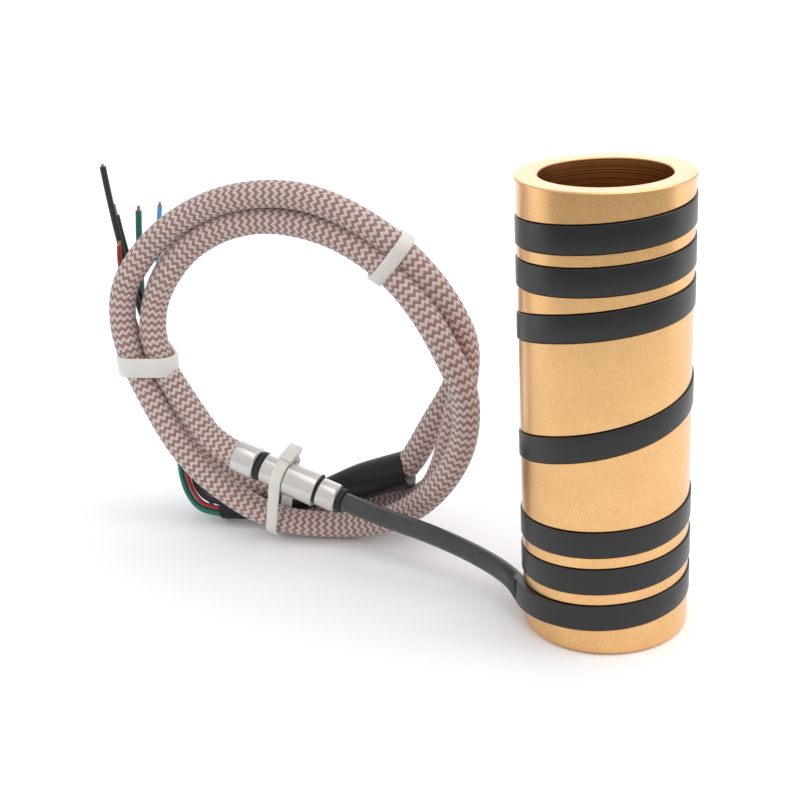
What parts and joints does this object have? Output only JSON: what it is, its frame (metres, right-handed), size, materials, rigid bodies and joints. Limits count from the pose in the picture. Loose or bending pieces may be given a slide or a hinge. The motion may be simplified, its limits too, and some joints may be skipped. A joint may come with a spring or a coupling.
{
  "type": "hot runner nozzle heater",
  "caption": "Brass sleeve heater with a flattened coil pressed in its helical groove, a cold lead, a transition fitting and a braided lead wound up beside it.",
  "frame": {"origin": "on the bore's axis in the plane of the sleeve's bottom end, at the bore's lower mouth", "axes": "+Z along the bore towards the upper rim, -Y towards the front of the sleeve, +X to the right; the lead leaves to -X and +Y"},
  "size_m": [0.0977, 0.0709, 0.074],
  "materials": {
    "brass": "fine turned",
    "coil_sheath": "satin, dark",
    "fitting_steel": "bright turned",
    "black_seal": "matt",
    "fibreglass_braid": "woven, with a maroon tracer",
    "pin_nickel": "drawn",
    "crimp_copper": "plated",
    "ceramic": "glazed",
    "potting": "cast",
    "heat_shrink": "satin",
    "black_wire": "satin",
    "green_wire": "satin",
    "red_wire": "satin",
    "blue_wire": "satin",
    "bare_conductor": "stranded",
    "tie_nylon": "natural, translucent"
  },
  "bodies": {
    "root": {"brass_sleeve": "brass", "heater_coil": "coil_sheath", "front_ferrule": "fitting_steel", "transition_barrel": "fitting_steel", "cable_gland": "fitting_steel", "lead_seal": "black_seal", "front_ring": "black_seal", "rear_o_ring": "black_seal", "braided_lead_turns": "fibreglass_braid", "braided_lead_start": "fibreglass_braid", "braided_lead_back_strand": "fibreglass_braid", "braided_lead_end": "fibreglass_braid", "power_pin_a": "pin_nickel", "power_pin_b": "pin_nickel", "thermocouple_pin_plus": "pin_nickel", "thermocouple_pin_minus": "pin_nickel", "power_crimp_a": "crimp_copper", "power_crimp_b": "crimp_copper", "thermocouple_crimp_plus": "crimp_copper", "thermocouple_crimp_minus": "crimp_copper", "ground_crimp": "crimp_copper", "crimp_insulator": "ceramic", "transition_potting": "potting", "heat_shrink_sleeve": "heat_shrink", "power_wire_a": "black_wire", "power_wire_b": "black_wire", "ground_wire": "green_wire", "thermocouple_wire_plus": "red_wire", "thermocouple_wire_minus": "blue_wire", "power_conductor_a": "bare_conductor", "power_conductor_b": "bare_conductor", "ground_conductor": "bare_conductor", "thermocouple_conductor_plus": "bare_conductor", "thermocouple_conductor_minus": "bare_conductor", "upper_cable_tie": "tie_nylon", "left_cable_tie": "tie_nylon", "fitting_cable_tie": "tie_nylon"}
  },
  "joints": []
}
